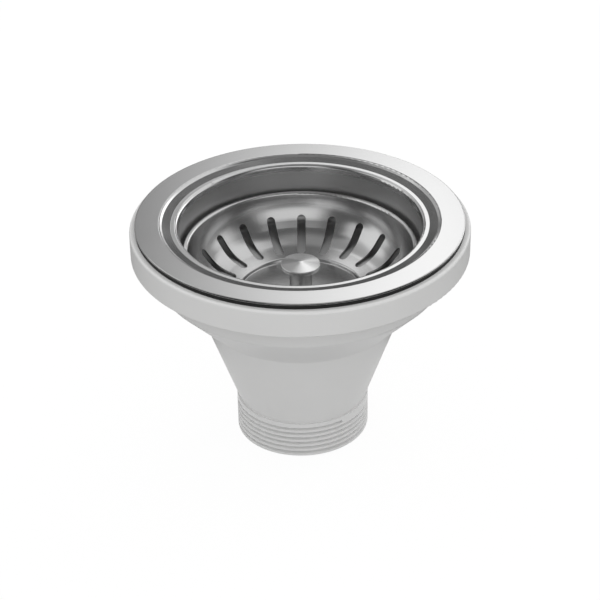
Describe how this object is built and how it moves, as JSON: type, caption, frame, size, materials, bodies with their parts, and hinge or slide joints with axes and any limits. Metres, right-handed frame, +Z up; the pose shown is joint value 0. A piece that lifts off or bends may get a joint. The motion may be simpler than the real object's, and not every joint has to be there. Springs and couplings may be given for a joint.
{
  "type": "sink strainer",
  "caption": "Kitchen sink waste with a steel flange and well, a lift-out slotted basket with a knob and rubber plug, and a white funnel body with a threaded outlet.",
  "frame": {"origin": "on the upright axis, in the plane of the outlet's lower end, on which the part stands", "axes": "+Z up along the outlet's axis, -Y towards the viewer of the picture, +X to the viewer's right"},
  "size_m": [0.1182, 0.1182, 0.0846],
  "materials": {
    "white_plastic": "satin moulded white",
    "insert_brass": "turned",
    "black_rubber": "matt moulded black",
    "cup_steel": "spun brush on the flange, bright bends",
    "basket_steel": "satin pressed",
    "knob_steel": "turned",
    "screw_steel": "plain",
    "catch_plastic": "natural moulded"
  },
  "bodies": {
    "drain": {"drain_body": "white_plastic", "screw_boss": "white_plastic", "thread_insert": "insert_brass", "body_gasket": "black_rubber", "flange_gasket": "black_rubber", "strainer_cup": "cup_steel", "cup_sump": "cup_steel", "fixing_screw": "screw_steel", "screw_washer": "screw_steel", "screw_seal": "black_rubber"},
    "grip": {"catch_ring": "black_rubber"},
    "basket": {"basket_shell": "basket_steel", "lift_knob": "knob_steel", "stopper_seal": "black_rubber", "stopper_plate": "screw_steel", "catch_sleeve": "catch_plastic"}
  },
  "joints": [
    {"name": "basket_lift", "type": "slide", "parent": "drain", "child": "grip", "axis": [0, 0, 1], "range_m": [0, 0.07]},
    {"name": "basket_turn", "type": "hinge", "parent": "grip", "child": "basket", "pos_m": [0, 0, 0.0548], "axis": [0, 0, 1], "continuous": true}
  ]
}
